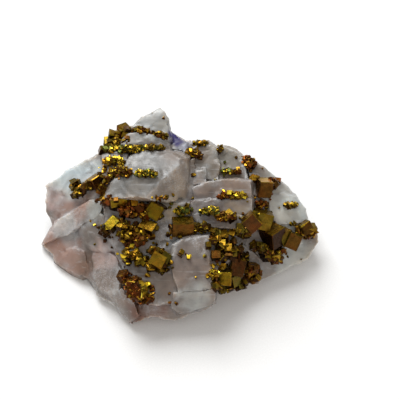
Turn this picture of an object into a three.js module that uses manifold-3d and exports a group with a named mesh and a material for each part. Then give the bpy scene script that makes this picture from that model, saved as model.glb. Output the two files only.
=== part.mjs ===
// Chalcopyrite on matrix: brassy crystals grown over a cleaved block of milky white mineral.
//
// The block lies on its broken back. Its broad, crystal-bearing face looks up and forwards, so the shape is
// laid out in a "face frame": u runs right along the face, v runs up it and w points straight out of it. The
// whole group is then leaned back onto the bench, +Z up, with the origin in the middle of the footprint.

import * as THREE from "three";
import { ConvexGeometry } from "three/addons/geometries/ConvexGeometry.js";
import { mergeVertices } from "three/addons/utils/BufferGeometryUtils.js";
import Module from "manifold-3d";

// ---------- driving dimensions, in millimetres and degrees ----------

const FACE_LEAN = 32; // how far the broad face leans back from straight up
const FACE_HEIGHT = 20; // height of the face frame's origin above the bench
const BENCH_BLOCK = 200; // size of the block cut away below the bench
const SLAB_DEPTH = 6; // how far a cleavage slab runs back into the body behind it, unless it says otherwise

const CUBE_LIFT = 0.2; // how far a crystal's centre stands over the matrix, as a share of its edge
const FOOT_REACH = 0.3; // how far round its centre a crystal feels for the ground, as a share of its edge
const PROBE_START = 60; // height over the face from which the ground is felt for
const CRUST_STEP = 0.95; // distance from one crust crystal to the next, as a share of their size
const CRUST_SIZE_SPREAD = 0.2; // how much crust crystals differ in size, as a share of it
const CRUST_TURN = 90; // how far a crust crystal may be turned about each axis, either way

const SOCKET_GAP = 0.35; // clearance in front of the matrix, between it and the crystals
const SOCKET_SIDES = [45, 135, 225, 315]; // directions across the face in which the sockets are widened too

const FIRST_SEED = 41; // start of the scatter, so that every run gives the same crystals
const SEEDS_PER_CLUSTER = 10; // seeds set aside for the crusts of one cluster
const SCATTER_FACTOR = 16807; // multiplier of the scatter's number sequence
const SCATTER_RANGE = 2147483647; // length of that sequence, a prime
const SAME_POINT = 1e-4; // corners nearer to each other than this are one

const leanAngle = THREE.MathUtils.degToRad(FACE_LEAN);
const faceToBench = new THREE.Matrix4()
  .makeTranslation(0, 0, FACE_HEIGHT)
  .multiply(new THREE.Matrix4().makeRotationX(leanAngle));
const benchToFace = faceToBench.clone().invert();

// ---------- materials ----------

const milkyMatrix = new THREE.MeshStandardMaterial({
  color: 0xcfcac4,
  roughness: 0.4,
  metalness: 0,
});
const brassyCrystal = new THREE.MeshStandardMaterial({
  color: 0xa5822e,
  roughness: 0.3,
  metalness: 0.9,
});

// ---------- solids ----------

const wasm = await Module();
wasm.setup();

function solidFrom(geometry) {
  const bare = new THREE.BufferGeometry();
  const flat = geometry.index ? geometry.toNonIndexed() : geometry;
  bare.setAttribute("position", flat.getAttribute("position"));
  const merged = mergeVertices(bare, SAME_POINT);
  return new wasm.Manifold(
    new wasm.Mesh({
      numProp: 3,
      vertProperties: merged.attributes.position.array,
      triVerts: new Uint32Array(merged.index.array),
    }),
  );
}

function geometryFrom(solid) {
  const mesh = solid.getMesh();
  const geometry = new THREE.BufferGeometry();
  geometry.setAttribute(
    "position",
    new THREE.BufferAttribute(new Float32Array(mesh.vertProperties), 3),
  );
  geometry.setIndex(new THREE.BufferAttribute(mesh.triVerts, 1));
  return geometry;
}

function joined(solids) {
  return solids.reduce((all, next) => all.add(next));
}

// The outermost skin of a solid: loose crumbs and the insides of sealed hollows are left out.
function largestBody(solid) {
  return solid
    .decompose()
    .reduce((best, body) => (body.volume() > best.volume() ? body : best));
}

function hullOf(points) {
  return solidFrom(new ConvexGeometry(points));
}

// ---------- matrix: bodies that reach down to the bench, and slabs that stand on them ----------

// crest holds [u, v, w] points on the face, foot holds [x, y, z] points near the bench.
const BODIES = [
  {
    name: "upper left",
    crest: [
      [-20.6, 16.9, -13],
      [-17.6, 20.4, -13.8],
      [-13.8, 22.8, -14.4],
      [-5.8, 26.4, -16.4],
      [-3.2, 24.9, -16.2],
      [-1.8, 19.4, -13.4],
      [-1.8, 0.5, -6.5],
      [-17.5, 0.5, -7],
    ],
    foot: [
      [-19, 18, 0],
      [-13, 25.5, 0],
      [-5, 28.6, 0],
      [-1, 26, 0],
      [0, 0, 0],
      [-19, 0, 0],
    ],
  },
  {
    name: "right",
    crest: [
      [-2, 20, -13.6],
      [1.4, 18.4, -13],
      [4.8, 18.8, -13.4],
      [6.9, 18.8, -13.4],
      [14, 16.8, -13.9],
      [19, 13.6, -14.2],
      [26, 7.8, -14.6],
      [31.5, 1.9, -15],
      [32, -9, -14.8],
      [16, -16.6, -10.4],
      [-2, -17, -5],
    ],
    foot: [
      [-2, 23, 0],
      [7, 21.5, 0],
      [18, 16.5, 0],
      [29, 8, 0],
      [29, 1, 0],
      [17, -6.5, 0],
      [0, -10, 0],
    ],
  },
  {
    name: "lower left",
    crest: [
      [-31, 0.6, -15],
      [-32, -2.4, -16],
      [-35.9, -7.2, -17.2],
      [-32.6, -9.6, -15.8],
      [-31.8, -12, -14.6],
      [-25, -15.5, -12.2],
      [-23, -16.3, -11],
      [-14.2, -17, -5.4],
      [-13.8, 1, -6.8],
    ],
    foot: [
      [-31, 6, 0],
      [-29.5, 0.6, 0],
      [-23, -4, 0],
      [-13, -8, 0],
      [-13, 8, 0],
      [-28, 12, 0],
    ],
  },
  {
    name: "front left",
    crest: [
      [-22.6, -16.4, -10.8],
      [-21.3, -20, -9.2],
      [-15.4, -22.9, -6.8],
      [8, -22, -4],
      [8.4, -18.4, -3],
      [8, -4.5, -5],
      [-17.5, 0, -6.6],
    ],
    foot: [
      [-20.5, -5.5, 0],
      [-19.5, -9.5, 0],
      [-14, -12.5, 0],
      [7, -12, 0],
      [7, -3, 0],
      [-19, 2, 0],
    ],
  },
  {
    name: "front tip",
    crest: [
      [-17.4, -21, -7.6],
      [-15.2, -22.8, -6.8],
      [-12.3, -27, -5.4],
      [-10.1, -25.7, -4.6],
      [-7.5, -24.8, -4],
      [-7.5, -18.3, -1.6],
    ],
    foot: [
      [-15, -11.5, 0],
      [-12, -17.6, 0.6],
      [-10, -16.4, 0],
      [-7, -14.5, 0],
      [-7, -8, 0],
    ],
  },
  {
    name: "front edge",
    crest: [
      [-7.6, -18.3, -1.8],
      [-7.6, -24.6, -4.2],
      [-4.7, -25, -4.4],
      [-1.3, -25.7, -4.4],
      [3.3, -24.2, -3.6],
      [8, -22.3, -2.6],
      [8.7, -18.6, -1.2],
    ],
    foot: [
      [-8, -14.5, 0],
      [-1.5, -15.4, 0.8],
      [2.5, -14, 0],
      [7, -11.5, 0],
      [7, -4, 0],
      [-7, -4, 0],
    ],
  },
  {
    name: "left wing",
    crest: [
      [-35, 7.8, -17.6],
      [-33.6, 9.1, -17.4],
      [-31, 10.6, -16.8],
      [-29.1, 12.5, -16.6],
      [-26.6, 12.5, -15.8],
      [-23.3, 14.1, -14.6],
      [-20.4, 16.4, -13.2],
      [-13.8, 17.4, -10.8],
      [-13.8, 4.6, -7.4],
      [-22, 4.6, -9.8],
      [-34.2, 5.8, -17.4],
    ],
    foot: [
      [-31, 15, 1.5],
      [-25, 18, 0],
      [-18, 19.5, 0],
      [-12, 18, 0],
      [-12, 3, 0],
      [-28, 8, 0],
      [-31, 12, 1],
    ],
  },
  {
    name: "left hollow",
    crest: [
      [-35, 7.2, -17.8],
      [-35.4, 4.2, -17.8],
      [-34.9, 1.6, -17.4],
      [-33.4, -0.8, -16.6],
      [-31.6, -2.2, -15.6],
      [-24, -1, -11.4],
      [-21, 0.6, -9.4],
      [-21, 5, -9.6],
    ],
    foot: [
      [-31.4, 11.6, 1],
      [-32.4, 7.4, 0],
      [-31.4, 4, 0],
      [-22, 2, 0],
      [-20, 10, 0],
    ],
  },
  {
    name: "middle",
    crest: [
      [-18.4, 4.4, -7],
      [-9, 4, -5.8],
      [3, 4, -6.4],
      [17.8, 4.4, -7.2],
      [18, -2.4, -5.6],
      [8, -4.6, -3.6],
      [7.6, -17, -0.6],
      [-1, -19, -0.2],
      [-11, -19.4, -2.6],
      [-15.4, -12, -4.4],
    ],
    foot: [
      [-17, 8, 0],
      [17, 8, 0],
      [17, -4, 0],
      [7, -12, 0],
      [-12, -12, 0],
    ],
  },
  {
    name: "right skirt",
    crest: [
      [26.2, -1.2, -9.5],
      [32.6, -1, -13],
      [34, -2.2, -13.6],
      [35.1, -3.8, -14.4],
      [35.2, -6.6, -15],
      [33.8, -9, -14.6],
      [32.8, -10.8, -14.4],
      [24.5, -13.2, -12.4],
      [21.2, -14.8, -11.2],
      [19.4, -17, -10.2],
      [16, -16.9, -9.4],
      [14, -8, -7],
    ],
    foot: [
      [31, 6.5, 0],
      [32.4, 3.6, 0.8],
      [29.8, 0.6, 0],
      [24, -2, 0],
      [19, -6, 0],
      [13, -6, 0],
      [13, 8, 0],
    ],
  },
];

// Steps low on the back, in [x, y, z] near the bench.
const BACK_STEPS = [
  {
    name: "back left step",
    foot: [
      [-18, 21.5, 0],
      [-12.5, 26.5, 0],
      [-5.6, 28.8, 0],
      [-5.8, 26.4, 10],
      [-12.6, 24.2, 8.6],
      [-17.6, 20, 8.2],
      [-16, 12, 8.2],
      [-6, 14, 10],
    ],
  },
  {
    name: "back right step",
    foot: [
      [3.2, 24.4, 0],
      [11.6, 22.2, 0],
      [14.6, 17.6, 0],
      [14, 16.6, 10.4],
      [11.4, 20, 11.2],
      [3.8, 22.4, 12],
      [4, 12, 12],
      [13, 10, 10.4],
    ],
  },
  {
    name: "back right corner step",
    foot: [
      [16.4, 18.4, 0],
      [22.4, 15.2, 0],
      [27.4, 10, 0],
      [26.6, 9.4, 6],
      [21.8, 14, 7.2],
      [16.6, 16.8, 7.8],
      [17, 8, 7.4],
      [25, 5, 6],
    ],
  },
];

// Flat-faced cleavage slabs. face is the front's outline of [u, v, w] points, flare is how much wider the
// slab's back is on each side, and depth is how far the slab runs back.
const SLABS = [
  {
    name: "peak",
    flare: 0.2,
    face: [
      [-12.2, 22.8, -12.6],
      [-10, 25.7, -13.8],
      [-8.3, 25.9, -14],
      [-6.8, 27.1, -14.5],
      [-5.2, 27.6, -14.5],
      [-4.2, 26.8, -13.8],
      [-3.3, 25.2, -13.2],
      [-2.8, 22.8, -12.4],
      [-1.9, 19, -11.6],
      [-5, 17.8, -10.6],
      [-11.6, 19.4, -11],
    ],
  },
  {
    name: "violet notch",
    flare: 0.6,
    face: [
      [-2.6, 22, -14],
      [-1.8, 21.2, -13.8],
      [0, 19.8, -13.4],
      [1.6, 18.8, -12.8],
      [2.4, 16, -11],
      [-2.6, 17.4, -11],
    ],
  },
  {
    name: "rise under the peak",
    flare: 1,
    face: [
      [-15, 16.8, -8.2],
      [-14.8, 19, -9],
      [-13.2, 20.9, -9.8],
      [-10.4, 21.4, -10],
      [-8.4, 19.9, -9.2],
      [-5.6, 20.2, -10],
      [-3, 19.6, -9.8],
      [-2, 16.4, -8.8],
    ],
  },
  {
    name: "great block",
    flare: 1.2,
    depth: 8,
    face: [
      [-13.8, 13.6, -6.2],
      [-12.4, 15.4, -6.8],
      [-8.5, 16.6, -7.2],
      [-5, 16.9, -7.3],
      [-0.6, 16.3, -7.4],
      [2.4, 15.3, -8.2],
      [1.6, 14.6, -6],
      [-4, 9.6, -2.2],
      [-8.5, 4.6, 0.2],
      [-13, 4.7, -0.6],
      [-18.5, 5, -2.6],
      [-17.2, 8.2, -3.6],
      [-11.3, 10, -2.2],
      [-3, 3.8, -3.4],
      [2.4, 4.6, -6.6],
    ],
  },
  {
    name: "left shoulder",
    flare: 1.6,
    face: [
      [-19.2, 11, -7.4],
      [-19.6, 15.4, -9.4],
      [-16.8, 16.4, -8.8],
      [-13.4, 15.6, -7.4],
      [-12.8, 11.4, -5.2],
      [-17.2, 8.6, -5],
    ],
  },
  {
    name: "middle column",
    flare: 1.2,
    face: [
      [-1.6, 14, -7.6],
      [3.6, 14.6, -8.6],
      [4.2, 3, -6.2],
      [-1, 3, -5.4],
      [-3, 6.8, -5.8],
    ],
  },
  {
    name: "upper right, left half",
    flare: 1.3,
    face: [
      [3, 14.4, -9.4],
      [3.4, 17.6, -11],
      [4.8, 18.6, -11.8],
      [7, 18.7, -11.8],
      [9, 17.4, -11],
      [10, 13, -8.8],
      [9.4, 9, -7.4],
      [2.6, 10, -7.8],
    ],
  },
  {
    name: "upper right, right half",
    flare: 1.1,
    face: [
      [9, 17.4, -11.8],
      [11.7, 17.6, -12.2],
      [14, 16.7, -12.2],
      [16, 14.8, -11.6],
      [17.2, 8.7, -8.6],
      [9.2, 8.6, -7.9],
    ],
  },
  {
    name: "small step left of centre",
    flare: 0.7,
    face: [
      [3.4, 8.4, -6.8],
      [3.6, 12, -7.8],
      [6.4, 12.4, -7.8],
      [6.8, 8.2, -6.6],
    ],
  },
  {
    name: "middle right, top step",
    flare: 1.3,
    face: [
      [6.2, 8.6, -6.5],
      [9.4, 9.2, -6.6],
      [15, 9.6, -7],
      [18, 9.1, -7.2],
      [18, 4.4, -5.8],
      [11.5, 4, -5.2],
      [3.6, 4, -5.6],
      [3.4, 7.4, -6.4],
    ],
  },
  {
    name: "middle right, second step",
    flare: 1.2,
    face: [
      [2.8, 4, -5.1],
      [7.5, 4.6, -5],
      [10.6, 4.1, -4.5],
      [18, 4.5, -5.3],
      [18, 0.6, -4.6],
      [12, 0.4, -3.9],
      [3, 0.2, -4.4],
    ],
  },
  {
    name: "middle right, third step",
    flare: 1.2,
    face: [
      [2.8, 0.6, -4.5],
      [8, 1.2, -3.8],
      [12.5, 0.4, -3.4],
      [18, 0.2, -4],
      [17.4, -1.9, -3.6],
      [14.6, -2.8, -3.2],
      [10.2, -2.6, -3],
      [5, -2, -3.7],
    ],
  },
  {
    name: "hollow below the great block",
    flare: 1.4,
    face: [
      [-7.5, 3.6, -5],
      [2.5, 3.6, -5.6],
      [4.6, -1.6, -4.8],
      [5, -5, -4],
      [-2.5, -6, -3],
      [-7.5, -5.5, -3.4],
    ],
  },
  {
    name: "front block",
    flare: 1.6,
    face: [
      [-1.6, -7.4, -0.4],
      [0.2, -5.6, -0.7],
      [3.2, -4.9, -1],
      [7, -4.8, -1.3],
      [7.4, -11.3, 0.2],
      [7.9, -17.6, 1.3],
      [-0.4, -18.4, 1.7],
      [-2, -12, 0.7],
    ],
  },
  {
    name: "front block, lower lip",
    flare: 0.9,
    face: [
      [-1.6, -18.6, 1.5],
      [7.9, -17.8, 1.4],
      [8.6, -18.9, 0.9],
      [8.4, -21.6, -0.9],
      [-0.6, -24.2, -1.5],
      [-2.2, -22.4, -0.4],
    ],
  },
  {
    name: "front left face",
    flare: 1.4,
    face: [
      [-14.6, -10.6, -3],
      [-8, -9.4, -1.9],
      [-1.2, -9.6, -1],
      [-0.8, -20.6, 0.6],
      [-6, -21.8, 0],
      [-11, -20.2, -1],
      [-13.6, -15.8, -2.2],
    ],
  },
  {
    name: "middle left face",
    flare: 1.6,
    face: [
      [-19.4, 3.4, -5.4],
      [-13, 4.2, -4.6],
      [-7.2, 3.4, -4.6],
      [-6.4, -6, -3],
      [-7.4, -12, -1.7],
      [-14.4, -12, -2.9],
      [-17.5, -6, -4.6],
    ],
  },
  {
    name: "left ridge",
    flare: 1.6,
    face: [
      [-19.4, 4, -6],
      [-20.4, 0.4, -6.4],
      [-27.4, -3.6, -11],
      [-35.6, -7.3, -16.4],
      [-35, -5.6, -16.4],
      [-30.8, -0.6, -13.2],
      [-23, 4.2, -8.6],
    ],
  },
  {
    name: "left shoulder lump",
    flare: 2.6,
    depth: 4,
    face: [
      [-25.4, -1.6, -10],
      [-20.6, 1.2, -6.6],
      [-16.4, -1.6, -5],
      [-15.4, -8, -3.6],
      [-19.4, -8.4, -6.2],
      [-23.5, -7, -9.2],
    ],
  },
  {
    name: "slope, outer lump",
    flare: 2.6,
    depth: 4,
    face: [
      [-31.4, -9.6, -14.6],
      [-27, -7.8, -11.6],
      [-24.4, -8.8, -10.5],
      [-23.6, -13.6, -10.2],
      [-25.6, -15.2, -11.4],
      [-28.8, -13, -12.9],
      [-31.4, -11.8, -14.1],
    ],
  },
  {
    name: "slope, middle lump",
    flare: 2.4,
    depth: 4,
    face: [
      [-22, -9.6, -8.8],
      [-19, -8.6, -6.6],
      [-15.8, -10, -4.2],
      [-14.4, -14, -3],
      [-15.6, -19, -3.8],
      [-19.6, -19, -7.4],
      [-21.8, -15, -9.2],
    ],
  },
  {
    name: "slope, lower lump",
    flare: 0.9,
    face: [
      [-18.6, -19, -6.8],
      [-14.4, -17.8, -2.8],
      [-11.6, -20.6, -1.2],
      [-10.4, -24.4, -2.4],
      [-12.3, -26.6, -4.4],
      [-15.6, -22.6, -5.6],
    ],
  },
  {
    name: "right rim",
    flare: 0.8,
    face: [
      [17, 14.2, -12.2],
      [20.6, 13.1, -12.6],
      [22.8, 9.9, -12.4],
      [24.4, 9.3, -12.8],
      [27.2, 7.9, -13.2],
      [29.4, 5, -13],
      [25, 2.6, -9.6],
      [18.4, 5.8, -8.2],
    ],
  },
  {
    name: "ledge under the right rim",
    flare: 1,
    face: [
      [17, 6.2, -8.6],
      [22.6, 5.4, -9.8],
      [23.4, 0.8, -9.2],
      [17.4, 0.6, -7.4],
    ],
  },
  {
    name: "right corner block",
    flare: 0.7,
    face: [
      [22.6, 5.2, -9.2],
      [27, 6.8, -12.4],
      [29.4, 5.2, -12.6],
      [31.9, 1.9, -12.8],
      [32.7, -1.2, -12.4],
      [24.8, -2, -8.4],
      [22.8, 0.4, -8.2],
    ],
  },
  {
    name: "right hollow",
    flare: 1.4,
    face: [
      [16, 1, -6.6],
      [23, 1, -8.8],
      [30, -2, -11.6],
      [31, -6.8, -12],
      [24, -9.4, -9.4],
      [17, -8, -6.6],
      [14, -3, -5.4],
    ],
  },
  {
    name: "front right shelf",
    flare: 1.2,
    face: [
      [7, -5, -4.4],
      [16, -7, -6],
      [20.5, -11, -9],
      [20, -15, -10.2],
      [15, -17.8, -9.6],
      [9, -18.8, -7],
      [7, -14, -4.6],
    ],
  },
];

function bodySolid({ crest = [], foot }) {
  const top = crest.map((p) => new THREE.Vector3(...p));
  const base = foot.map((p) =>
    new THREE.Vector3(...p).applyMatrix4(benchToFace),
  );
  return hullOf([...top, ...base]);
}

function slabSolid({ face, flare, depth = SLAB_DEPTH }) {
  const front = face.map((p) => new THREE.Vector3(...p));
  const middle = front
    .reduce((sum, p) => sum.add(p), new THREE.Vector3())
    .divideScalar(front.length);
  const back = front.map((p) => {
    const outward = new THREE.Vector3(p.x - middle.x, p.y - middle.y, 0);
    const out = p.clone().addScaledVector(outward.normalize(), flare);
    out.z -= depth;
    return out;
  });
  return hullOf([...front, ...back]);
}

const benchCut = solidFrom(
  new THREE.BoxGeometry(BENCH_BLOCK, BENCH_BLOCK, BENCH_BLOCK)
    .translate(0, 0, -BENCH_BLOCK / 2)
    .applyMatrix4(benchToFace),
);

const matrixSolid = largestBody(
  joined([
    ...[...BODIES, ...BACK_STEPS].map(bodySolid),
    ...SLABS.map(slabSolid),
  ]).subtract(benchCut),
);

// ---------- crystals ----------

// Repeatable scatter for the small crystals of a crust.
function scatterFrom(seed) {
  let state = seed;
  return () => {
    state = (state * SCATTER_FACTOR) % SCATTER_RANGE;
    return state / SCATTER_RANGE;
  };
}

// cubes: [u, v, edge, tip, lean, spin]. An edge is one length, or three across, up and out. The crystal is
// spun about v, then leaned about w, then tipped about u, in degrees.
// crusts: chains of small cubes of about one size, strewn up to a width to each side of a path of [u, v]
// points.
const CLUSTERS = [
  {
    name: "peak_cluster",
    cubes: [
      [-14.5, 21.3, [4.6, 3.6, 4], 20, 24, 24],
      [-16.8, 20.3, 2.9, 30, 10, 15],
      [-17.8, 18.7, 3.4, 24, -18, 35],
      [-19, 17, 2.8, 38, 12, 48],
      [-15.9, 18.6, 2.4, 10, 40, 10],
      [-17.4, 17, 2.6, 25, 20, 60],
    ],
    crusts: [
      {
        size: 1.6,
        path: [
          [-11.8, 22],
          [-8.4, 21.6],
          [-4, 20.2],
        ],
      },
    ],
  },
  {
    name: "upper_ledge_cluster",
    crusts: [
      {
        size: 1.9,
        width: 0.1,
        path: [
          [-14.6, 16.9],
          [-12, 17.2],
          [-8, 17.4],
          [-5, 17.2],
        ],
      },
    ],
  },
  {
    name: "left_shoulder_cluster",
    crusts: [
      {
        size: 1.8,
        width: 0.3,
        path: [
          [-18.6, 12.2],
          [-18.2, 14.4],
          [-16.2, 14.8],
          [-14.6, 13.8],
        ],
      },
      {
        size: 1.9,
        width: 0.3,
        path: [
          [-17.6, 9.6],
          [-17, 11.6],
          [-14.6, 12.2],
          [-12.8, 11],
        ],
      },
    ],
  },
  {
    name: "great_block_cluster",
    crusts: [
      {
        size: 1.6,
        path: [
          [-10.2, 10.9],
          [-6.4, 10.7],
        ],
      },
    ],
  },
  {
    name: "left_wing_cluster",
    cubes: [
      [-26.6, 8, 2.9, 20, 30, 20],
      [-26.4, 6, 2.4, 10, 10, 40],
      [-24, 7.8, 2.3, 40, -10, 20],
      [-21.4, 8.8, 3.1, 20, 25, 35],
      [-19.8, 7, 2.5, 15, -30, 10],
    ],
    crusts: [
      {
        size: 1.7,
        path: [
          [-25, 7.4],
          [-21, 7.6],
        ],
      },
    ],
  },
  {
    name: "centre_left_cluster",
    cubes: [
      [-6.1, 1.7, [3.9, 3.9, 3.4], 14, -30, -14],
      [-9.7, 2.2, 3.4, 30, 15, 40],
      [-12.6, 2.8, 3.4, 25, -10, 20],
      [-8.8, 0.4, 2.4, 40, 20, 10],
      [-15.4, 4.2, [4, 2.2, 2.6], 35, 5, 15],
      [-8, -2.7, [3.8, 3.3, 2.4], -46, -25, 2],
      [-16.6, -1.9, [3.2, 2.5, 3.2], -35, 43, -16],
      [-14.5, -2.3, 2.2, 20, 30, 25],
      [-18.8, -3, 2, 20, 10, 30],
    ],
    crusts: [
      {
        size: 2.2,
        width: 0.4,
        path: [
          [-17.6, 3.8],
          [-15, 2.4],
          [-11, 0.6],
        ],
      },
      {
        size: 2.1,
        width: 0.4,
        path: [
          [-12.8, -1.8],
          [-8.6, -3.8],
          [-14.2, -4.8],
          [-10, -5.6],
        ],
      },
    ],
  },
  {
    name: "lower_left_cluster",
    cubes: [[-5.4, -10.9, [3.6, 3.5, 3.2], -15, -30, 0]],
    crusts: [
      {
        size: 2.2,
        width: 0.3,
        path: [
          [-12.8, -10.4],
          [-12.4, -9],
          [-10.6, -10.6],
          [-8, -12],
          [-4.6, -13.2],
          [-3.4, -9.6],
          [-7, -8.4],
        ],
      },
    ],
  },
  {
    name: "front_left_cluster",
    cubes: [
      [-10.2, -17.8, [4.2, 4.3, 4.2], 6, -4, -24],
      [-11.4, -16.8, 3.3, 20, 30, 20],
    ],
    crusts: [
      {
        size: 2.2,
        width: 0.3,
        path: [
          [-13.6, -14.8],
          [-12.2, -17.8],
          [-9.6, -20.6],
          [-7.2, -20.2],
        ],
      },
    ],
  },
  {
    name: "saddle_cluster",
    cubes: [
      [0.7, -2.4, [5.2, 3.8, 3.8], 30, -3, 6],
      [-1.6, -3.2, 1.9, 28, 20, 22],
      [3, -3.2, 1.9, 30, -24, 8],
    ],
    crusts: [
      {
        size: 1.6,
        path: [
          [4, -2.7],
          [5.8, -2.1],
          [6.4, -2.2],
        ],
      },
    ],
  },
  {
    name: "hollow_cluster",
    crusts: [
      {
        size: 1.9,
        path: [
          [-0.3, 1.8],
          [1.8, 2],
        ],
      },
    ],
  },
  {
    name: "third_step_cluster",
    crusts: [
      {
        size: 1.9,
        width: 0.2,
        path: [
          [6, 1.2],
          [8.6, 1.6],
          [10.2, 0.2],
          [12.4, 0.4],
        ],
      },
    ],
  },
  {
    name: "second_step_cluster",
    crusts: [
      {
        size: 1.6,
        path: [
          [9.8, 4.9],
          [12, 5.8],
          [15.8, 5],
        ],
      },
    ],
  },
  {
    name: "top_step_cluster",
    crusts: [
      {
        size: 1.6,
        path: [
          [11, 11.3],
          [14.6, 11.3],
        ],
      },
    ],
  },
  {
    name: "notch_cluster",
    cubes: [
      [2.7, 15.9, 2.1, 20, 30, 20],
      [3.9, 16.2, 2.1, 30, 10, 50],
      [4.8, 15.7, 1.8, 10, 50, 30],
    ],
  },
  {
    name: "top_edge_cluster",
    crusts: [
      {
        size: 1.2,
        path: [
          [3.8, 18.4],
          [6.2, 18.6],
        ],
      },
    ],
  },
  {
    name: "top_right_crystal",
    cubes: [[10.1, 17.2, 1.8, 25, 40, 20]],
  },
  {
    name: "right_rim_cluster",
    cubes: [
      [17, 13.9, 2.1, 20, 20, 30],
      [18.4, 13.6, 2.2, 30, -20, 10],
      [17.3, 12.8, 1.8, 10, 45, 20],
    ],
  },
  {
    name: "right_shoulder_cluster",
    cubes: [
      [21.1, 7.4, [3.7, 4.2, 3.6], 20, -10, 20],
      [23.2, 8.4, 2.5, 20, 30, 30],
      [18.8, 9.6, 2, 35, 20, 15],
    ],
  },
  {
    name: "right_shoulder_small_cluster",
    cubes: [
      [20.1, 3.5, 1.7, 25, 30, 30],
      [21.4, 3.3, 1.3, 10, 10, 10],
    ],
  },
  {
    name: "right_corner_cluster",
    crusts: [
      {
        size: 1.6,
        path: [
          [27.2, 2.8],
          [28.8, 3],
        ],
      },
    ],
  },
  {
    name: "right_cluster",
    cubes: [
      [17.8, -1.2, [3.6, 3.8, 3.4], 22, 42, 5],
      [20.6, -0.7, 4.3, 15, -16, 12],
      [23.3, -4.8, 4.7, 32, 6, 45],
      [28.2, -5.9, [3.6, 4, 4], 6, -26, 16],
      [26.3, -5, 3.4, 30, 20, 30],
      [31.6, -2.9, 3.2, 22, 25, 30],
      [33.1, -3.4, 2.8, 35, -15, 15],
      [30.1, -4.1, 2.2, 20, 40, 30],
      [24.1, -9.7, 2.8, 45, 10, 20],
      [22, -9.6, 2.7, 20, 30, 40],
    ],
    crusts: [
      {
        size: 1.9,
        width: 0.3,
        path: [
          [18.8, -7.3],
          [22, -7.7],
        ],
      },
      {
        size: 2.2,
        width: 0.3,
        path: [
          [15.4, -3],
          [17.4, -3.8],
        ],
      },
    ],
  },
  {
    name: "front_right_cluster",
    cubes: [
      [10.4, -7.2, 3.6, 25, 20, 30],
      [12.8, -8.6, 3.2, 40, -10, 20],
      [14.6, -9.6, 3.2, 20, 15, 35],
      [9.8, -9.8, 3, 10, 10, 50],
      [8.8, -4.1, 2.2, 20, 30, 20],
      [10.6, -5, 2.7, 40, 0, 10],
      [14, -12.5, [3.7, 4.3, 4], 2, -14, 14],
      [11.1, -14.8, 3.6, 18, 0, -8],
      [13.2, -15.8, 3, 20, 10, 50],
      [8.4, -14, 2.3, 20, 20, 20],
    ],
    crusts: [
      {
        size: 2.2,
        width: 0.3,
        path: [
          [9.2, -5.8],
          [13.4, -7.4],
          [16.2, -9.8],
        ],
      },
      {
        size: 2.3,
        width: 0.4,
        path: [
          [8.8, -16.6],
          [10.6, -18.2],
          [14.6, -17.4],
          [18.4, -15.4],
          [18.2, -13],
        ],
      },
    ],
  },
];

// The matrix with its sockets' clearance: laid over itself, shifted sideways, outwards and inwards.
const swollenMatrix = [1, -1]
  .flatMap((outward) =>
    SOCKET_SIDES.map((degrees) =>
      new THREE.Vector3(SOCKET_GAP, 0, outward * SOCKET_GAP).applyAxisAngle(
        new THREE.Vector3(0, 0, 1),
        THREE.MathUtils.degToRad(degrees),
      ),
    ),
  )
  .concat(new THREE.Vector3(0, 0, SOCKET_GAP))
  .reduce(
    (all, shift) => all.add(matrixSolid.translate(shift.toArray())),
    matrixSolid,
  );

const matrixOnFace = new THREE.Mesh(
  geometryFrom(matrixSolid),
  new THREE.MeshBasicMaterial(),
);
const probe = new THREE.Raycaster();
const intoFace = new THREE.Vector3(0, 0, -1);

// Height w of the matrix under a point of the face, in a list that is empty beyond its outline.
function surfaceAt(u, v) {
  probe.set(new THREE.Vector3(u, v, PROBE_START), intoFace);
  const hits = probe.intersectObject(matrixOnFace);
  return hits.slice(0, 1).map((hit) => hit.point.z);
}

// Where a crystal's foot stands: midway between the ground under its centre and the highest ground nearby.
function groundFor(u, v, reach) {
  const near = [
    [0, 0],
    [reach, 0],
    [-reach, 0],
    [0, reach],
    [0, -reach],
  ].flatMap(([du, dv]) => surfaceAt(u + du, v + dv));
  return (near[0] + Math.max(...near)) / 2;
}

function cubeSolid([u, v, edge, tip, lean, spin]) {
  const edges = Array.isArray(edge) ? edge : [edge, edge, edge];
  const turn = new THREE.Euler(
    ...[tip, spin, lean].map(THREE.MathUtils.degToRad),
    "XZY",
  );
  const w = groundFor(u, v, edges[2] * FOOT_REACH) + edges[2] * CUBE_LIFT;
  const place = new THREE.Matrix4()
    .makeTranslation(u, v, w)
    .multiply(new THREE.Matrix4().makeRotationFromEuler(turn));
  return solidFrom(new THREE.BoxGeometry(...edges).applyMatrix4(place));
}

// Cubes along the crust's path, each a little out of line, turned and sized at random.
function crustCubes({ path, size, width = 0 }, seed) {
  const random = scatterFrom(seed);
  const either = (range) => (random() - 0.5) * 2 * range;
  const route = new THREE.CurvePath();
  for (let i = 1; i < path.length; i += 1) {
    route.add(
      new THREE.LineCurve3(
        new THREE.Vector3(...path[i - 1], 0),
        new THREE.Vector3(...path[i], 0),
      ),
    );
  }
  const steps = Math.round(route.getLength() / (size * CRUST_STEP));
  return route
    .getSpacedPoints(steps)
    .map((p) => [
      p.x + either(width),
      p.y + either(width),
      size * (1 + either(CRUST_SIZE_SPREAD)),
      either(CRUST_TURN),
      either(CRUST_TURN),
      either(CRUST_TURN),
    ]);
}

function clusterSolid({ cubes = [], crusts = [] }, index) {
  const small = crusts.flatMap((crust, i) =>
    crustCubes(crust, FIRST_SEED + SEEDS_PER_CLUSTER * index + i),
  );
  const grown = joined([...cubes, ...small].map(cubeSolid));
  return largestBody(grown.subtract(swollenMatrix));
}

// ---------- the part ----------

const specimen = new THREE.Group();

function addPiece(name, solid, material) {
  const piece = new THREE.Mesh(geometryFrom(solid), material);
  piece.name = name;
  specimen.add(piece);
}

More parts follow.
